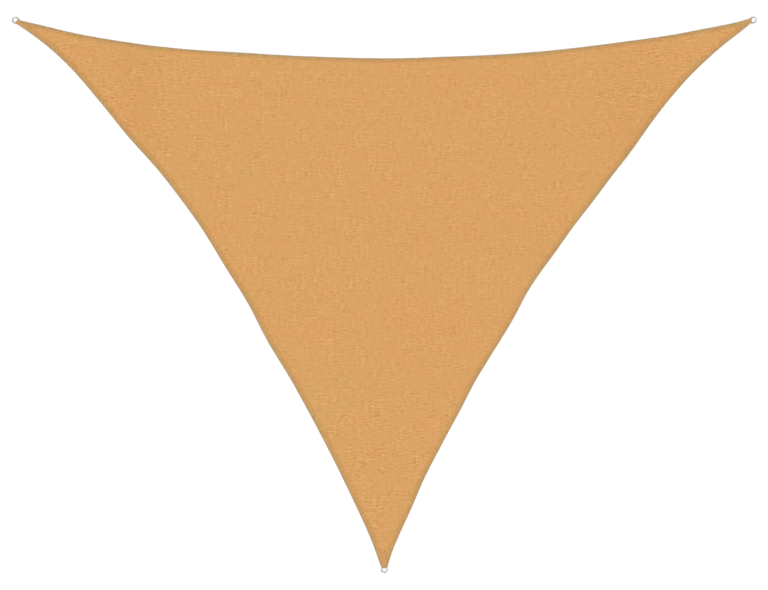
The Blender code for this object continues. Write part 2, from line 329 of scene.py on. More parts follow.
class Sail:
    """The cloth's outline, and the heights of its two faces."""

    def __init__(self):
        self.lines = {name: EdgeLine(name) for name in EDGES}
        self.hems = np.array([line.hem for line in self.lines.values()])
        self.lengths = np.array([line.length for line in self.lines.values()])

    def read(self, points):
        """For each point, the edge it belongs to, its share of it, and its distance in from it."""
        shares, insets = zip(*(line.nearest(points) for line in self.lines.values()))
        owner = np.argmin(np.array(insets) / self.hems[:, None], axis=0)
        pick = np.arange(len(points))
        return owner, np.array(shares)[owner, pick], np.array(insets)[owner, pick]

    def end_distance(self, points):
        """How far each point is inside the nearest tip's cut end."""
        found = [dot(tip_middle(c) - points, heading_of(c)) for c in CORNERS.values()]
        return np.min(found, axis=0)

    def tip_distance(self, points):
        found = [np.linalg.norm(points - tip_middle(c), axis=1) for c in CORNERS.values()]
        return np.min(found, axis=0)

    def underside(self, points, owner, share, inset):
        """The height of the cloth's lower face."""
        height = TIP_LIFT * smooth((LANDED - self.tip_distance(points)) / (LANDED - LIFTED))
        for swell in SWELLS:
            line = self.lines[swell.edge]
            offset = points - line.on_edge(swell.share)
            run = unit(line.tangent(swell.share))
            height += swell.height * mound(offset, run, swell.half_width, swell.reach)
        for crease in CREASES:
            height += crease.height * self.creased(crease, points)
        return height + self.pucker(points, owner, share, inset)

    def creased(self, crease, points, spread=1.0):
        start, end = np.array(crease.start), np.array(crease.end)
        offset = points - (start + end) / 2
        half = np.linalg.norm(end - start) / 2
        return mound(offset, unit(end - start), half * spread, crease.half_width * spread)

    # The painted shade along the creases
    def tone(self, points):
        return sum(crease.tone * self.creased(crease, points, TONE_SPREAD) for crease in CREASES)

    def pucker(self, points, owner, share, inset):
        along = share * self.lengths[owner] + owner * PUCKER_REACH
        wave = sum(w.weight * np.sin(math.tau * along / w.length + w.phase) for w in PUCKERS)
        ease = smooth((self.tip_distance(points) - LIFTED) / PUCKER_EASE)
        return PUCKER_HEIGHT * np.maximum(wave, 0.0) * np.exp(-((inset / PUCKER_REACH) ** 2)) * ease

    def groove(self, owner, inset):
        """1 along the hem's two rows of sewing, falling to 0 on both sides of each."""
        rows = (SEW_IN, self.hems[owner] - SEW_IN)
        return sum(np.exp(-(((inset - row) / SEW_SPREAD) ** 2)) for row in rows)

    def thickness(self, owner, inset):
        """The cloth with its hem, which its sewing draws in."""
        width = self.hems[owner]
        puff = PUFF * hump((inset - width / 2) / (width / 2 - SEW_IN))
        hem = HEM - PUFF + puff - SEW_DEPTH * self.groove(owner, inset)
        return hem + (CLOTH - hem) * smooth((inset - width) / FOLD_DROP + 1)

    def planar_points(self):
        """The outline's points in order, and the points inside it."""
        outline = []
        for name, backwards in (("top", False), ("right", False), ("left", True)):
            line = self.lines[name]
            shares = np.linspace(0, 1, round(line.length / ALONG_HEM) + 1)
            outline.append(line.point(shares[::-1] if backwards else shares))
        outline = self.close_ends(outline)
        inside = []
        for i, line in enumerate(self.lines.values()):
            shares = np.linspace(0, 1, round(line.length / ALONG_HEM) + 1)
            groove = (-SEW_SPREAD, 0.0, SEW_SPREAD)
            folds = (
                *(SEW_IN + step for step in groove),
                line.hem / 2,
                *(line.hem - SEW_IN + step for step in groove),
                line.hem - FOLD_DROP,
                line.hem - FOLD_DROP / 2,
                line.hem,
            )
            for inset in (*NOSE_ROWS, *folds, *(line.hem + step for step in INNER_ROWS)):
                row = line.point(shares, inset)
                owner, _, _ = self.read(row)
                apart = [
                    other.nearest(row)[1] - inset * other.hem / line.hem
                    for other in self.lines.values()
                    if other is not line
                ]
                clear = (
                    (owner == i)
                    & (np.min(apart, axis=0) > ROW_MARGIN)
                    & (self.end_distance(row) > ROW_MARGIN)
                )
                inside.append(row[clear])
        inside.append(self.cloth_grid())
        return outline, np.concatenate(inside)

    def close_ends(self, sides):
        """The three sides as one ring of points, with points along each cut end between them."""
        ring = []
        for side, following in zip(sides, sides[1:] + sides[:1]):
            ring.append(side)
            steps = np.linspace(0, 1, END_POINTS + 1)[1:-1, None]
            ring.append(side[-1] + (following[0] - side[-1]) * steps)
        return np.concatenate(ring)

    def cloth_grid(self):
        """Staggered points over the cloth, inside the rows that follow its edges."""
        rise = OVER_CLOTH * math.sqrt(3) / 2
        columns = np.arange(-TOP_SPAN / 2, TOP_SPAN / 2, OVER_CLOTH)
        rows = np.arange(-FALL / 2, FALL / 2, rise)
        x, y = np.meshgrid(columns, rows)
        x = x + (np.arange(len(rows)) % 2)[:, None] * OVER_CLOTH / 2
        points = np.stack((x.ravel(), y.ravel()), axis=1)
        owner, share, inset = self.read(points)
        clear = inset > self.hems[owner] + INNER_ROWS[-1] + OVER_CLOTH * GRID_MARGIN
        return points[clear & (share > 0) & (share < 1)]


def new_object(name, data):
    thing = bpy.data.objects.new(name, data)
    bpy.context.scene.collection.objects.link(thing)
    return thing


def mesh_object(name, points, faces, smooth_shading=True):
    mesh = bpy.data.meshes.new(name)
    mesh.from_pydata([tuple(p) for p in points], [], [tuple(f) for f in faces])
    if smooth_shading:
        mesh.shade_smooth()
    return new_object(name, mesh)


def store(mesh, name, values):
    attribute = mesh.attributes.new(name, "FLOAT", "POINT")
    attribute.data.foreach_set("value", np.asarray(values, np.float32))


def lay_out(mesh, places):
    """Keep the place of each corner of each face along and across the material's own lay."""
    mesh.uv_layers.new(name="lay").data.foreach_set("uv", places.astype(np.float32).ravel())


def make_sail(sail):
    """The knitted panel: two faces that meet at the rim, round the hem's outer fold."""
    outline, inside = sail.planar_points()
    rim = len(outline)
    flat = [Vector(p) for p in np.concatenate((outline, inside))]
    found = delaunay_2d_cdt(flat, [], [list(range(rim))], INSIDE, MERGED)
    points = np.array([tuple(p) for p in found[0]])
    triangles = np.array(found[2])
    a, b, c = (points[triangles[:, k]] for k in range(3))
    turned = dot(across(b - a), c - a) < 0
    triangles[turned] = triangles[turned][:, ::-1]

    owner, share, inset = sail.read(points)
    index = np.arange(len(points))
    on_rim = index < rim
    low = sail.underside(points, owner, share, inset)
    thick = sail.thickness(owner, inset)
    nose = np.clip(np.minimum(inset, sail.end_distance(points)) / NOSE, 0, 1)
    nose[on_rim] = 0.0
    rounding = np.sqrt(np.clip(1 - (1 - nose) ** 2, 0, 1))
    middle = low + HEM / 2
    upper = np.where(nose < 1, middle + (low + thick - middle) * rounding, low + thick)
    drawn = low + SEW_DEPTH / 2 * sail.groove(owner, inset)
    lower = np.where(nose < 1, middle + (low - middle) * rounding, drawn)

    below = np.where(on_rim, index, index + len(points) - rim)
    heights = np.concatenate((upper, lower[~on_rim]))
    places = np.concatenate((points, points[~on_rim]))
    faces = np.concatenate((triangles, below[triangles][:, ::-1]))
    panel = mesh_object("sail_panel", np.column_stack((places, heights)), faces)

    for label, values in (
        ("hem_share", 1 - smooth((inset - sail.hems[owner]) / FOLD_DROP + 1)),
        ("edge_distance", np.clip(inset, 0, None)),
        ("crease_painted_shade", sail.tone(points)),
        ("drawn_in", smooth((FREE - sail.tip_distance(points)) / (FREE - DRAWN_IN))),
    ):
        store(panel.data, label, np.concatenate((values, values[~on_rim])))
    lay_grain(panel.data, sail, points, triangles, owner, share, inset)
    return panel


def lay_grain(mesh, sail, points, triangles, owner, share, inset):
    """The cloth's own lay, in metres: on the hem it is the lay of the part that was turned over."""
    mirrored = points.copy()
    for i, line in enumerate(sail.lines.values()):
        own = owner == i
        mirrored[own] -= 2 * inset[own, None] * line.normal(share[own])
    turned = (inset / sail.hems[owner])[triangles].mean(axis=1) < 1
    upper = np.where(turned[:, None, None], mirrored[triangles], points[triangles])
    lower = points[triangles][:, ::-1]
    lay_out(mesh, np.concatenate((upper, lower)))


MIX_A, MIX_B, MIX_RESULT = 6, 7, 2  # the sockets for colours of a Mix node


class NodeMaker:
    """Adds nodes to a tree. An input is a plain value or the socket that feeds it."""

    def __init__(self, tree):
        self.tree = tree

    def add(self, kind, inputs=None, **settings):
        node = self.tree.nodes.new(kind)
        for name, value in settings.items():
            setattr(node, name, value)
        for key, value in (inputs or {}).items():
            if isinstance(value, bpy.types.NodeSocket):
                self.tree.links.new(value, node.inputs[key])
            else:
                node.inputs[key].default_value = value
        return node

    def math(self, operation, *values):
        inputs = dict(enumerate(values))
        return self.add("ShaderNodeMath", inputs, operation=operation).outputs[0]

    def times(self, a, b):
        return self.math("MULTIPLY", a, b)

    def plus(self, a, b):
        return self.math("ADD", a, b)

    def minus(self, a, b):
        return self.math("SUBTRACT", a, b)

    def swing(self, value):
        """0 to 1 and back as a sine, once for each whole step of the value."""
        wave = self.math("SINE", self.times(value, math.tau))
        return self.plus(self.times(wave, 0.5), 0.5)

    def to_and_fro(self, value):
        """1 to 0 and back in straight lines, once for each whole step of the value."""
        return self.math("ABSOLUTE", self.plus(self.times(self.math("FRACT", value), 2), -1))

    def stored(self, name):
        """A value that the mesh holds for each of its points."""
        return self.add("ShaderNodeAttribute", attribute_name=name).outputs["Fac"]

    def place(self):
        return self.add("ShaderNodeTexCoord").outputs["Object"]

    def lay(self):
        """The place in metres along and across the cloth's or the webbing's own lay."""
        return self.add("ShaderNodeUVMap", uv_map="lay").outputs[0]

    def parts(self, vector):
        return self.add("ShaderNodeSeparateXYZ", {0: vector}).outputs

    def noise(self, vector, size, detail=2.0, roughness=0.5):
        """Noise in spots of a size, or of a size along each axis."""
        if isinstance(size, tuple):
            scales = [1 / part for part in (*size, 1.0)[:3]]
            vector = self.add("ShaderNodeMapping", {"Vector": vector, "Scale": scales}).outputs[0]
            size = 1.0
        inputs = {"Vector": vector, "Scale": 1 / size, "Detail": detail, "Roughness": roughness}
        return self.add("ShaderNodeTexNoise", inputs).outputs["Fac"]

    def ramp(self, value, low, high, start=0.0, end=1.0):
        """start to end, as the value runs from low to high."""
        inputs = {"Value": value, 1: low, 2: high, 3: start, 4: end}
        return self.add("ShaderNodeMapRange", inputs, interpolation_type="SMOOTHSTEP").outputs[0]

    def mix(self, share, a, b, blend="MIX"):
        """A colour between two colours."""
        inputs = {0: share, MIX_A: a, MIX_B: b}
        node = self.add("ShaderNodeMix", inputs, data_type="RGBA", blend_type=blend)
        return node.outputs[MIX_RESULT]

    def scaled(self, colour, factor):
        """A colour made lighter or darker by a factor."""
        inputs = {0: colour, "Scale": factor}
        return self.add("ShaderNodeVectorMath", inputs, operation="SCALE").outputs[0]


def new_material(name, roughness, metallic=0.0, sheen=0.0):
    made = bpy.data.materials.new(name)
    made.use_nodes = True
    surface = made.node_tree.nodes["Principled BSDF"]
    surface.inputs["Roughness"].default_value = roughness
    surface.inputs["Metallic"].default_value = metallic
    surface.inputs["Sheen Weight"].default_value = sheen
    return made, NodeMaker(made.node_tree), surface


def paint(nodes, surface, colour, height, strength, distance):
    """Give a surface its colour, and its relief as a bump of a strength and a height in metres."""
    nodes.tree.links.new(colour, surface.inputs["Base Color"])
    inputs = {"Height": height, "Strength": strength, "Distance": distance}
    bump = nodes.add("ShaderNodeBump", inputs)
    nodes.tree.links.new(bump.outputs[0], surface.inputs["Normal"])


# Knitted cloth: chains of loops run along the long edge, with a tape in zigzag between each two.
CHAIN_PITCH = 0.0032
CHAIN_RANGE = (0.35, 0.85)  # a chain begins and is full here, from 0 between two chains to 1 on one
LOOP_PITCH = 0.0026
LOOP_LEAN = 0.75  # of a loop: how far its legs trail behind its head
ROW_SHIFT = 0.37  # of a zigzag, from each row to the next
TAPE_RANGE = (0.46, 0.26)  # a tape begins and is full this far from its middle, in pitches
TAPE_SPREAD = 0.30  # how much wider a light tape lies
TAPE_HEIGHT = 0.45  # against the loops'
DRIFT_SIZE = 0.018  # over this length the knit drifts to and fro, this far along and across
DRIFT = (0.0012, 0.0009)
GAP_PAINTED_SHADE = 0.76  # how light the gaps are, painted as shade, and what threads and, as painted light, loops' heads add to that
THREAD_LIGHT = 0.20
LOOP_PAINTED_LIGHT = 0.10
THREAD_RUN = 0.022  # length over which a thread's tone changes
ROW_STRIDE = 7.31  # how far the courses of neighbouring threads are apart, in such lengths
CHAINS_APART = 100.0  # and how far those of the chains are from those of the tapes
TAPE_TONE = 0.34  # how far the tone of the tapes and of the chains goes
CHAIN_TONE = 0.22
COCKLE = (0.032, 0.014)  # small uneven waves of the cloth: their size, and their height in loops
COCKLE_HEIGHT = 7.0

# The uneven density of the knit: the sizes of its dashes, the rows that they lie in and how those
# sway, and how strong each is over the cloth and where the knit is drawn in
DASH = (0.027, 0.0135)
UPRIGHT = (0.018, 0.070)
ROW_PITCH = 0.0225
SWAY_SIZE = (0.11, 0.08)
SWAY = 4.0
THREADS = (1.00, 1.20)
DASHES = (0.27, 0.35)
UPRIGHTS = (0.16, 0.15)
ROWS = (0.075, 0.120)
PATCH_SIZE = 0.13  # patches where all of it is weaker or stronger
PATCH_RANGE = (0.36, 0.64)
PATCH_STRENGTH = (0.60, 1.40)
GRAIN_TINT = (0.70, 1.06, 2.00)  # how far a thin or dense place changes red, green and blue

# The cloth's colours
SAND_WARM = (0.690, 0.303, 0.1010, 1)
SAND_COOL = (0.601, 0.349, 0.1030, 1)
MOTTLES = (((0.17, 0.10), 2.0, 0.75), ((1.8, 0.50), 1.0, 0.50))  # each a size, detail and strength
# painted shade along the creases, a little warmer
CREASE_SHADE = (0.970, 0.957, 0.928, 1)
HEM_SHADE = (0.846, 0.885, 0.860, 1)
HEM_FADE = (0.022, 0.032)  # from and to this far in, the hem's shade falls to a share of it
HEM_FADED = 0.30
HEM_PUCKER_SHADING_SIZE = 0.09  # over this length the hem's tone wavers this far, as painted light and shade of its puckers
HEM_PUCKER_SHADING = 0.08
# painted shade on the hem's outer fold, where it turns away from the light, with a greyer tint
RIM_PAINTED_SHADE = (0.815, 0.935, 1.28, 1)
PAINTED_RIM_WIDTH = 0.014


def uneven(nodes, along, row, seed):
    """How light a thread is along its row, about 0. Each row runs a course of its own."""
    course = nodes.plus(nodes.times(row, ROW_STRIDE), seed)
    place = nodes.add("ShaderNodeCombineXYZ", {0: nodes.times(along, 1 / THREAD_RUN), 1: course})
    return nodes.minus(nodes.noise(place.outputs[0], 1.0, detail=1.0), 0.5)


def knit(nodes):
    """(colour factor, tone of the threads, height) of the knit, from the cloth's lay; the factor
    paints shade in the gaps and light on the loops' heads.
    """
    lay = nodes.lay()
    drift = nodes.minus(nodes.noise(lay, DRIFT_SIZE), 0.5)
    along, over = (
        nodes.plus(part, nodes.times(drift, reach)) for part, reach in zip(nodes.parts(lay), DRIFT)
    )
    rows = nodes.times(over, 1 / CHAIN_PITCH)
    between = nodes.math("FLOOR", rows)
    near_chain = nodes.to_and_fro(rows)
    chain = nodes.ramp(near_chain, *CHAIN_RANGE)
    off_chain = nodes.minus(1, chain)
    lean = nodes.times(nodes.minus(1, near_chain), -LOOP_LEAN)
    loop = nodes.swing(nodes.plus(nodes.times(along, 1 / LOOP_PITCH), lean))
    shift = nodes.times(between, ROW_SHIFT)
    zigzag = nodes.to_and_fro(nodes.plus(nodes.times(along, 0.5 / LOOP_PITCH), shift))
    off_tape = nodes.math("ABSOLUTE", nodes.minus(nodes.math("FRACT", rows), zigzag))
    tape_tone = uneven(nodes, along, between, 0.0)
    chain_tone = uneven(nodes, along, nodes.math("FLOOR", nodes.plus(rows, 0.5)), CHAINS_APART)
    tape = nodes.ramp(nodes.minus(off_tape, nodes.times(tape_tone, TAPE_SPREAD)), *TAPE_RANGE)
    cover = nodes.math("MAXIMUM", chain, tape)
    looped = nodes.times(chain, nodes.plus(nodes.times(loop, 0.5), 0.5))
    height = nodes.math("MAXIMUM", looped, nodes.times(tape, TAPE_HEIGHT))
    # painted shade in the gaps between threads, painted light on the heads of the loops
    light = nodes.plus(nodes.times(cover, THREAD_LIGHT), nodes.times(looped, LOOP_PAINTED_LIGHT))
    tone = nodes.plus(
        nodes.times(nodes.times(off_chain, tape_tone), TAPE_TONE),
        nodes.times(nodes.times(chain, chain_tone), CHAIN_TONE),
    )
    cockles = nodes.noise(lay, COCKLE, detail=1.0)
    height = nodes.plus(height, nodes.times(cockles, COCKLE_HEIGHT))
    return nodes.plus(light, GAP_PAINTED_SHADE), tone, height


def grain(nodes, tone):
    """The uneven density of the knit: short dashes along the chains, in faint rows, a few of them
    upright, and the threads' own tone."""
    lay = nodes.lay()
    dashes = nodes.noise(lay, DASH, detail=1.0, roughness=0.4)
    upright = nodes.noise(lay, UPRIGHT, detail=0.0)
    patches = nodes.noise(lay, PATCH_SIZE, detail=1.0)
    sway = nodes.times(nodes.noise(lay, SWAY_SIZE), SWAY)
    rows = nodes.swing(nodes.plus(nodes.times(nodes.parts(lay)[1], 1 / ROW_PITCH), sway))
    drawn = nodes.stored("drawn_in")
    total = nodes.times(tone, nodes.ramp(drawn, 0.0, 1.0, *THREADS))
    for part, strengths in ((dashes, DASHES), (upright, UPRIGHTS), (rows, ROWS)):
        strength = nodes.ramp(drawn, 0.0, 1.0, *strengths)
        total = nodes.plus(total, nodes.times(nodes.minus(part, 0.5), strength))
    total = nodes.times(total, nodes.ramp(patches, *PATCH_RANGE, *PATCH_STRENGTH))
    grey = nodes.add("ShaderNodeCombineXYZ", {0: total, 1: total, 2: total}).outputs[0]
    inputs = {0: GRAIN_TINT, 1: grey, 2: (1, 1, 1)}
    return nodes.add("ShaderNodeVectorMath", inputs, operation="MULTIPLY_ADD").outputs[0]


def mottle(nodes, place):
    """The sand colour, which runs a little warmer and cooler in patches and in broad bands."""
    share = 0.5
    for size, detail, strength in MOTTLES:
        part = nodes.minus(nodes.noise(place, size, detail), 0.5)
        share = nodes.plus(nodes.times(part, strength), share)
    return nodes.mix(share, SAND_COOL, SAND_WARM)


def shaded(nodes, colour, share, shade):
    """A colour multiplied by a shade, as far as a share says."""
    return nodes.mix(share, colour, nodes.mix(1.0, colour, shade, "MULTIPLY"))


def cloth_material():
    made, nodes, surface = new_material("knitted_shade_cloth", roughness=0.82, sheen=0.06)
    place = nodes.place()
    hem, edge = nodes.stored("hem_share"), nodes.stored("edge_distance")
    light, tone_of_threads, height = knit(nodes)
    # painted light and shade along the hem, standing in for its puckers
    pucker_shading = nodes.minus(nodes.noise(place, HEM_PUCKER_SHADING_SIZE, detail=1.0), 0.5)
    pucker_shading = nodes.plus(nodes.times(nodes.times(pucker_shading, hem), HEM_PUCKER_SHADING), 1.0)
    colour = nodes.scaled(mottle(nodes, place), nodes.times(light, pucker_shading))
    colour = nodes.mix(1.0, colour, grain(nodes, tone_of_threads), "MULTIPLY")
    # painted shade along the creases
    colour = shaded(nodes, colour, nodes.stored("crease_painted_shade"), CREASE_SHADE)
    hem = nodes.times(hem, nodes.ramp(edge, *HEM_FADE, 1.0, HEM_FADED))
    colour = shaded(nodes, colour, hem, HEM_SHADE)
    # painted shade along the hem's outer fold
    rim = nodes.ramp(edge, PAINTED_RIM_WIDTH / 2, PAINTED_RIM_WIDTH, 1.0, 0.0)
    colour = shaded(nodes, colour, rim, RIM_PAINTED_SHADE)
    paint(nodes, surface, colour, height, strength=0.5, distance=0.0005)
    return made


# Webbing: ribs along its length, crossed by a fine slanting weave of picks.
RIB_PITCH = 0.0022
PICK_PITCH = 0.0011
PICK_SLANT = 0.8  # of a pick: how far it trails between two ribs
RIB_HEIGHT = 0.7
PICK_HEIGHT = 0.3
WEAR_SIZE = (0.020, 0.006)
HEIGHT_TONE = 0.75  # how much the relief, painted as shade between the ribs, and the wear each count in the tone
WEAR_TONE = 0.35
TONE_RANGE = (0.25, 0.95)
COOL_WEBBING = (0.535, 0.303, 0.094, 1)
WARM_WEBBING = (0.585, 0.291, 0.089, 1)
WARMTH = {"left": 0.0, "right": 0.0, "point": 1.0}
RIB_SHADE_AND_WEAR = 0.82  # how dark the webbing is between its ribs, as painted shade, and where worn, of 1
FOLD_SHADE_REACH = (0.003, 0.010)  # painted shade on the fold round the bar: full and none this far either way from its middle
# the colour of the painted shade on the fold
FOLD_PAINTED_SHADE = (0.58, 0.58, 0.62, 1)


def webbing_material():
    made, nodes, surface = new_material("sand_webbing", roughness=0.62, sheen=0.15)
    lay = nodes.lay()
    along, over, _ = nodes.parts(lay)
    from_rib = nodes.to_and_fro(nodes.times(over, 1 / RIB_PITCH))
    rib = nodes.minus(1, nodes.math("POWER", from_rib, 2))
    slant = nodes.plus(nodes.times(along, 1 / PICK_PITCH), nodes.times(from_rib, PICK_SLANT))
    pick = nodes.swing(slant)
    height = nodes.plus(nodes.times(rib, RIB_HEIGHT), nodes.times(pick, PICK_HEIGHT))
    worn = nodes.noise(lay, WEAR_SIZE, detail=3.0)
    # painted shade between the ribs, and real wear
    share = nodes.plus(nodes.times(height, HEIGHT_TONE), nodes.times(worn, WEAR_TONE))
    colour = nodes.mix(nodes.stored("warmth"), COOL_WEBBING, WARM_WEBBING)
    colour = nodes.scaled(colour, nodes.ramp(share, *TONE_RANGE, RIB_SHADE_AND_WEAR, 1.0))
    fold_middle = TAIL + math.pi / 2 * (BAR_HEIGHT - STRAP / 2)
    from_fold = nodes.math("ABSOLUTE", nodes.plus(along, -fold_middle))
    # painted shade where the fold turns away from the light
    colour = shaded(nodes, colour, nodes.ramp(from_fold, *FOLD_SHADE_REACH, 1.0, 0.0), FOLD_PAINTED_SHADE)
    paint(nodes, surface, colour, height, strength=0.7, distance=0.00025)
    return made


# Sewing thread
TWIST = 0.0007
THREAD_SHADES = ((0.52, 0.30, 0.125, 1), (0.70, 0.43, 0.19, 1))


def thread_material():
    made, nodes, surface = new_material("sewing_thread", roughness=0.5, sheen=0.2)
    twist = nodes.noise(nodes.place(), TWIST, detail=1.0)
    colour = nodes.mix(twist, *THREAD_SHADES)
    paint(nodes, surface, colour, twist, strength=0.5, distance=0.0002)
    return made


# Stainless steel: its dull marks tint it and make it rougher, and so do its scratches and its weld,
# whose dark tint is painted shade.
MARK_SIZE = 0.006
SCRATCH_SIZE = (0.0006, 0.006, 0.0006)
STEEL_SHADES = ((0.50, 0.495, 0.49, 1), (0.41, 0.40, 0.39, 1))
MARK_TINTS = (0.35, 0.70)  # how strong a mark is where it begins to tint the wire and does fully
MARK_DULLS = (0.40, 0.75)  # and where it begins to make it rougher and does fully
ROUGHNESS = (0.22, 0.36)
SCRATCH_ROUGHNESS = 0.08
# painted shade, laid on the weld
WELD_AND_PAINTED_SHADE = (0.13, 0.085, 0.065, 1)
WELD_ROUGHNESS = 0.25


def steel_material():
    """Stainless wire with fine scratches, a few dull marks and a rough weld darkened by painted
    shade.
    """
    made, nodes, surface = new_material("stainless_wire", roughness=0.3, metallic=1.0)
    place = nodes.place()
    marks = nodes.noise(place, MARK_SIZE, detail=4.0, roughness=0.65)
    scratches = nodes.noise(place, SCRATCH_SIZE)
    weld_and_shade = nodes.stored("weld_and_shade")
    colour = nodes.mix(nodes.ramp(marks, *MARK_TINTS), *STEEL_SHADES)
    # painted shade at the weld
    colour = nodes.mix(weld_and_shade, colour, WELD_AND_PAINTED_SHADE)
    rough = nodes.ramp(marks, *MARK_DULLS, *ROUGHNESS)
    rough = nodes.plus(rough, nodes.times(scratches, SCRATCH_ROUGHNESS))
    rough = nodes.plus(rough, nodes.times(weld_and_shade, WELD_ROUGHNESS))
    nodes.tree.links.new(rough, surface.inputs["Roughness"])
    paint(nodes, surface, colour, scratches, strength=0.15, distance=0.00005)
    return made


def new_tree(name, **inputs):
    """(tree, its nodes, its inputs, its path as a curve), with inputs of these usual values."""
    tree = bpy.data.node_groups.new(name, "GeometryNodeTree")
    tree.interface.new_socket("Path", in_out="INPUT", socket_type="NodeSocketGeometry")
    for label, value in inputs.items():
        kind = "NodeSocketInt" if isinstance(value, int) else "NodeSocketFloat"
        tree.interface.new_socket(label, in_out="INPUT", socket_type=kind).default_value = value
    tree.interface.new_socket("Material", in_out="INPUT", socket_type="NodeSocketMaterial")
    tree.interface.new_socket("Geometry", in_out="OUTPUT", socket_type="NodeSocketGeometry")
    nodes = NodeMaker(tree)
    given = nodes.add("NodeGroupInput").outputs
    return tree, nodes, given, nodes.add("GeometryNodeMeshToCurve", {0: given["Path"]}).outputs[0]


def end_tree(nodes, geometry, material):
    real = nodes.add("GeometryNodeRealizeInstances", {0: geometry}).outputs[0]
    painted = nodes.add("GeometryNodeSetMaterial", {"Geometry": real, "Material": material})
    nodes.add("NodeGroupOutput", {0: painted.outputs[0]})


def tube(nodes, curve, thickness, sides):
    inputs = {"Resolution": sides, "Radius": nodes.times(thickness, 0.5)}
    section = nodes.add("GeometryNodeCurvePrimitiveCircle", inputs).outputs[0]
    inputs = {"Curve": curve, "Profile Curve": section, "Fill Caps": True}
    return nodes.add("GeometryNodeCurveToMesh", inputs).outputs[0]


def sewing_tree():
    """Stitches along a path, each a short arch of thread that dips into the cloth at both ends."""
    tree, nodes, given, path = new_tree(
        "Row of stitches",
        Pitch=STITCH_PITCH,
        Length=STITCH_LENGTH,
        Thread=THREAD,
        Wander=math.radians(4),
        Side=1.0,
        Steps=4,
        Sides=6,
        Seed=7,
    )
    inputs = {"Curve": path, "Length": given["Pitch"]}
    places = nodes.add("GeometryNodeResampleCurve", inputs, mode="LENGTH").outputs[0]
    half = nodes.times(given["Length"], 0.5)
    upwards = nodes.times(given["Thread"], given["Side"])
    dip = nodes.times(upwards, -STITCH_DIP)
    start, end = (
        nodes.add("ShaderNodeCombineXYZ", {"X": nodes.times(half, way), "Z": dip}).outputs[0]
        for way in (-1, 1)
    )
    crown = nodes.add("ShaderNodeCombineXYZ", {"Z": nodes.times(upwards, STITCH_RISE)}).outputs[0]
    inputs = {"Resolution": given["Steps"], "Start": start, "Middle": crown, "End": end}
    arch = nodes.add("GeometryNodeCurveQuadraticBezier", inputs).outputs[0]
    stitch = tube(nodes, arch, given["Thread"], given["Sides"])
    inputs = {"Vector": nodes.add("GeometryNodeInputTangent").outputs[0]}
    turned = nodes.add("FunctionNodeAlignRotationToVector", inputs, axis="X", pivot_axis="Z")
    wander = given["Wander"]
    inputs = {2: nodes.times(wander, -1), 3: wander, "Seed": given["Seed"]}
    drift = nodes.add("FunctionNodeRandomValue", inputs, data_type="FLOAT").outputs[1]
    skew = nodes.add("ShaderNodeCombineXYZ", {"Z": drift}).outputs[0]
    inputs = {"Rotation": turned.outputs[0], "Rotate By": skew}
    skewed = nodes.add("FunctionNodeRotateRotation", inputs, rotation_space="LOCAL").outputs[0]
    inputs = {"Points": places, "Instance": stitch, "Rotation": skewed}
    stitches = nodes.add("GeometryNodeInstanceOnPoints", inputs).outputs[0]
    end_tree(nodes, stitches, given["Material"])
    return tree


def wire_tree():
    """Round wire along a path."""
    tree, nodes, given, path = new_tree("Bent wire", Wire=WIRE, Sides=WIRE_SIDES)
    end_tree(nodes, tube(nodes, path, given["Wire"], given["Sides"]), given["Material"])
    return tree


def grown(name, tree, paths, values, closed=False):
    """What a tree makes from paths, each a row of points, as a plain object."""
    points, edges = [], []
    for row in paths:
        first, count = len(points), len(row)
        points.extend(tuple(p) for p in row)
        steps = range(count if closed else count - 1)
        edges.extend((first + i, first + (i + 1) % count) for i in steps)
    mesh = bpy.data.meshes.new(name + "_path")
    mesh.from_pydata(points, edges, [])
    guide = new_object(name + "_path", mesh)
    modifier = guide.modifiers.new("grow", "NODES")
    modifier.node_group = tree
    for item in tree.interface.items_tree:
        if item.in_out == "INPUT" and item.name in values:
            modifier[item.identifier] = values[item.name]
    depsgraph = bpy.context.evaluated_depsgraph_get()
    made = bpy.data.meshes.new_from_object(guide.evaluated_get(depsgraph), depsgraph=depsgraph)
    bpy.data.objects.remove(guide)
    made.name = name
    made.shade_smooth()
    return new_object(name, made)


def under_strap(points, margin):
    """True for each point that a webbing tab covers."""
    covered = np.zeros(len(points), bool)
    for corner in CORNERS.values():
        ahead = heading_of(corner)
        offset = points - (centre_of(corner) - ahead * BAR_TO_ROUND)
        back, aside = -dot(offset, ahead), np.abs(dot(offset, across(ahead)))
        covered |= (back < TAIL + margin) & (aside < STRAP_WIDTH / 2 + margin)
    return covered


def hem_sewing(sail, name, tree, material):
    """The two rows of stitches along one edge's hem, on each of the cloth's faces."""
    line = sail.lines[name]
    index = list(sail.lines).index(name)
    upper, lower = [], []
    for inset in (SEW_IN, line.hem - SEW_IN):
        shares = np.linspace(0, 1, round(line.length / STITCH_PITCH))
        row = line.point(shares, inset)
        owner, share, found = sail.read(row)
        clear = ~under_strap(row, STRAP_CLEAR) & (sail.end_distance(row) > SEW_IN)
        shown = (owner == index) & clear
        height = sail.underside(row, owner, share, found)
        above = np.column_stack((row, height + sail.thickness(owner, found)))
        below = np.column_stack((row, height + UNDER_THREAD))
        upper.extend(runs_of(above, shown))
        lower.extend(runs_of(below, shown))
    values = {"Material": material, "Seed": index}
    return [
        grown(f"hem_sewing_{name}", tree, upper, values),
        grown(f"hem_sewing_under_{name}", tree, lower, {**values, **UNDERNEATH}),
    ]


def runs_of(points, kept, least=3):
    """The unbroken stretches of the points that are kept."""
    breaks = np.flatnonzero(np.diff(kept.astype(int))) + 1
    parts = np.split(np.arange(len(points)), breaks)
    return [points[part] for part in parts if kept[part[0]] and len(part) >= least]


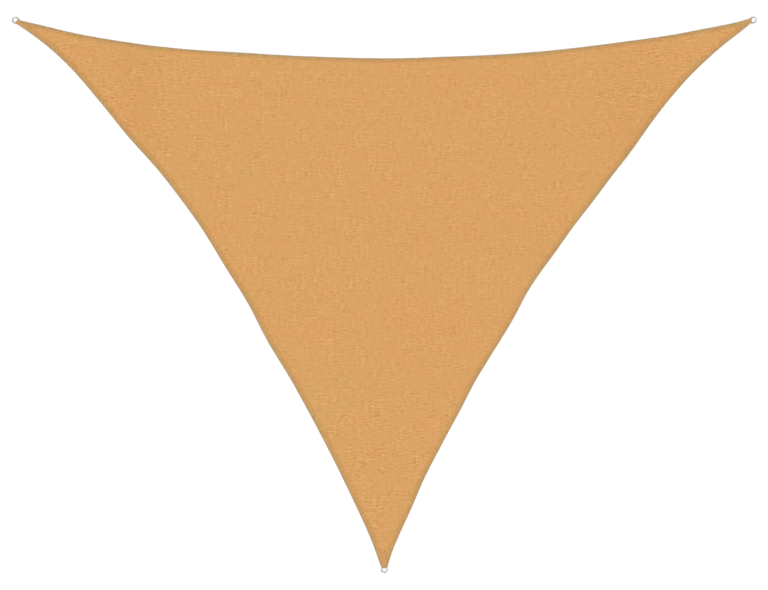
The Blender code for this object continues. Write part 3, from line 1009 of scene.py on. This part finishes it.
def in_place(corner, points):
    """Points that are given ahead of the bar, aside and up, moved to a corner."""
    ahead = heading_of(corner)
    bar = centre_of(corner) - ahead * BAR_TO_ROUND
    flat = bar + points[:, :1] * ahead + points[:, 1:2] * across(ahead)
    return np.column_stack((flat, points[:, 2]))


def strap_line():
    """The middle of the webbing in section, as rows of (ahead of the bar, height), a step apart."""
    lower, upper = STRAP / 2, UPPER_TAIL + STRAP / 2
    radius = BAR_HEIGHT - lower
    angles = np.radians(np.linspace(-90, 90, FOLD_ANGLE_STEPS + 1))
    fold = np.column_stack((radius * np.cos(angles), BAR_HEIGHT + radius * np.sin(angles)))
    back = np.arange(STRAP_STEP, TAIL + STRAP_STEP / 2, STRAP_STEP)
    crown = BAR_HEIGHT + radius
    over = np.column_stack((-back, crown + (upper - crown) * smooth(back / FOLD_SLOPE)))
    under = np.column_stack((-back[::-1], np.full(len(back), lower)))
    return np.concatenate((under, fold, over))


def strap_section():
    """The webbing's section, as (aside, out from its middle), round the two woven edges."""
    flat, bend = STRAP_WIDTH / 2 - STRAP_ROUND, STRAP / 2
    face = np.linspace(-flat, flat, STRAP_ACROSS)
    angles = np.radians(np.linspace(90, -90, STRAP_ROUND_STEPS + 1)[1:-1])
    edge = np.column_stack((flat + STRAP_ROUND * np.cos(angles), bend * np.sin(angles)))
    top = np.column_stack((face, np.full(len(face), bend)))
    return np.concatenate((top, edge, top[::-1] * (1, -1), edge[::-1] * (-1, 1)))


def box_lines():
    """The box and the cross that are sewn on the tails, as (start, end) pairs."""
    half = STRAP_WIDTH / 2 - BOX_MARGIN
    near, far = -BOX_START, -(TAIL - BOX_MARGIN)
    a, b, c, d = np.array(((near, -half), (near, half), (far, half), (far, -half)))
    return ((a, b), (b, c), (c, d), (d, a), (a, c), (b, d))


def distance_to_line(points, start, end):
    run = end - start
    share = np.clip(dot(points - start, run) / dot(run, run), 0, 1)
    return np.linalg.norm(points - (start + share[:, None] * run), axis=1)


def make_webbing(name, corner, warmth, material):
    """The strap that holds a ring, drawn in where it is sewn."""
    line, section = strap_line(), strap_section()
    run = unit(np.gradient(line, axis=0))
    out = np.column_stack((run[:, 1], -run[:, 0]))
    count = len(section)
    middle = np.repeat(line, count, axis=0)
    aside = np.tile(section[:, 0], len(line))
    off = np.tile(section[:, 1], len(line))
    flat = middle + np.repeat(out, count, axis=0) * off[:, None]
    points = np.column_stack((flat[:, 0], aside, flat[:, 1]))
    upper = (points[:, 2] > UPPER_TAIL + STRAP / 2) & (points[:, 0] < 0)
    lower = (points[:, 2] < STRAP / 2) & (points[:, 0] < 0)
    sewn = np.min([distance_to_line(points[:, :2], a, b) for a, b in box_lines()], axis=0)
    drawn = SEW_DEPTH / 2 * np.exp(-((sewn / (SEW_SPREAD / 2)) ** 2))
    points[:, 2] += drawn * (lower.astype(float) - upper)
    rows = np.arange(len(points)).reshape(-1, count)
    here, there = rows[:-1], rows[1:]
    sides = np.stack((here, np.roll(here, -1, 1), np.roll(there, -1, 1), there), axis=-1)
    faces = (*sides.reshape(-1, 4), rows[0][::-1], rows[-1])
    thing = mesh_object(name, in_place(corner, points), faces)
    mesh = thing.data
    travelled = np.concatenate(([0], np.cumsum(np.linalg.norm(np.diff(line, axis=0), axis=1))))
    lay = np.column_stack((np.repeat(travelled, count), aside))
    corners = np.empty(len(mesh.loops), int)
    mesh.loops.foreach_get("vertex_index", corners)
    lay_out(mesh, lay[corners])
    store(mesh, "warmth", np.full(len(mesh.vertices), warmth))
    mesh.set_sharp_from_angle(angle=SHARP_ANGLE)
    mesh.materials.append(material)
    return thing


def tab_sewing(name, corner, tree, material):
    """The box and cross sewn on a tab, on its upper tail and under its lower one."""
    values = {"Material": material, "Pitch": TAB_STITCH_PITCH, "Length": TAB_STITCH_LENGTH}
    made = []
    for label, height, more in (
        (f"tab_sewing_{name}", UPPER_TAIL + STRAP - SEW_DEPTH / 4, {}),
        (f"tab_sewing_under_{name}", UNDER_THREAD, UNDERNEATH),
    ):
        paths = []
        for start, end in box_lines():
            inset = (end - start) / np.linalg.norm(end - start) * TAB_STITCH_PITCH / 2
            ends = np.array((start + inset, end - inset))
            points = np.column_stack((ends, np.full(2, height)))
            paths.append(in_place(corner, points))
        made.append(grown(label, tree, paths, {**values, **more}))
    return made


def arc(centre_x, centre_y, radius, start, end, steps):
    angles = np.radians(np.linspace(start, end, steps + 1))
    return np.column_stack((centre_x + radius * np.cos(angles), centre_y + radius * np.sin(angles)))


def make_ring(name, corner, tree, material, weld_and_shade):
    """A D-ring, tilted about its bar so that the round end rests on the floor."""
    straight = RING_HALF_WIDTH - RING_BEND
    down = np.linspace(straight, -straight, BAR_STEPS + 1)
    bar = np.column_stack((np.zeros(len(down)), down))
    flat = np.concatenate(
        (
            arc(RING_BEND, -straight, RING_BEND, 180, 270, BEND_STEPS),
            arc(BAR_TO_ROUND, 0, RING_HALF_WIDTH, -90, 90, ROUND_STEPS),
            arc(RING_BEND, straight, RING_BEND, 90, 180, BEND_STEPS),
            bar[1:-1],
        )
    )
    tilt = math.asin((BAR_HEIGHT - WIRE / 2) / (BAR_TO_ROUND + RING_HALF_WIDTH))
    points = np.column_stack(
        (flat[:, 0] * math.cos(tilt), flat[:, 1], BAR_HEIGHT - flat[:, 0] * math.sin(tilt))
    )
    ring = grown(name, tree, [in_place(corner, points)], {"Material": material}, closed=True)
    surface = np.empty(len(ring.data.vertices) * 3)
    ring.data.vertices.foreach_get("co", surface)
    offset = surface.reshape(-1, 3) - in_place(corner, np.array([(*weld_and_shade, 0.0)]))
    away = np.linalg.norm(offset[:, :2], axis=1)
    store(ring.data, "weld_and_shade", np.exp(-((away / WELD_REACH) ** 2)))
    return ring


def make_floor():
    half = FLOOR_SIZE / 2
    corners = [(x * half, y * half, -FLOOR_DROP) for x, y in ((-1, -1), (1, -1), (1, 1), (-1, 1))]
    floor = mesh_object("floor", corners, [(0, 1, 2, 3)], smooth_shading=False)
    made, nodes, surface = new_material("pale_floor", roughness=0.9)
    surface.inputs["Specular IOR Level"].default_value = FLOOR_SHINE
    tone = nodes.noise(nodes.place(), FLOOR_PATCH)
    nodes.tree.links.new(nodes.mix(tone, *FLOOR_SHADES), surface.inputs["Base Color"])
    floor.data.materials.append(made)


def make_light():
    world = bpy.data.worlds.new("studio")
    world.use_nodes = True
    background = world.node_tree.nodes["Background"]
    background.inputs["Color"].default_value = (1, 1, 1, 1)
    background.inputs["Strength"].default_value = WORLD_LIGHT
    bpy.context.scene.world = world
    sun = bpy.data.lights.new("soft_light", "SUN")
    sun.energy = SUN_LIGHT
    sun.angle = SUN_ANGLE
    new_object("soft_light", sun).rotation_euler = SUN_TURN
    bpy.context.scene.view_settings.view_transform = "Standard"


def make_camera():
    """Straight above the sail, with the long edge at the top of the picture."""
    camera = bpy.data.cameras.new("camera")
    camera.sensor_width = SENSOR
    camera.lens = SENSOR * CAMERA_HEIGHT / (TOP_SPAN * FRAME_PIXELS / TOP_PIXELS)
    camera.clip_end = CAMERA_SIGHT
    thing = new_object("camera", camera)
    thing.location = (*VIEW_CENTRE, CAMERA_HEIGHT)
    bpy.context.scene.camera = thing


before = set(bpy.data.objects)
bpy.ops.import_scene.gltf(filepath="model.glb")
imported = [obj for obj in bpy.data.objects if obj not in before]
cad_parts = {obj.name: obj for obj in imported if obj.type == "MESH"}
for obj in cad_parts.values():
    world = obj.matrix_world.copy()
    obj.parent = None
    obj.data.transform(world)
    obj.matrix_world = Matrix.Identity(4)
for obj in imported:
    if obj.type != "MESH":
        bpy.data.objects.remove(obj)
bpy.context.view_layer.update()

make_camera()
make_light()
make_floor()

cloth = cloth_material()
webbing = webbing_material()
thread = thread_material()
steel = steel_material()
sewing = sewing_tree()
bent_wire = wire_tree()

sail = Sail()
panel = make_sail(sail)
panel.data.materials.append(cloth)
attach(panel, BODY)
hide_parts("sail_cloth")

on_the_cloth = []
for name in EDGES:
    on_the_cloth.extend(hem_sewing(sail, name, sewing, thread))

for name, corner in CORNERS.items():
    strap = make_webbing(f"webbing_{name}", corner, WARMTH[name], webbing)
    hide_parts(f"tab_{name}")
    ring = make_ring(f"d_ring_{name}", corner, bent_wire, steel, WELD_AND_SHADE_SPOTS[name])
    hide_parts(f"ring_{name}")
    on_the_cloth.extend((strap, ring, *tab_sewing(name, corner, sewing, thread)))

for piece in on_the_cloth:
    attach(piece, BODY)
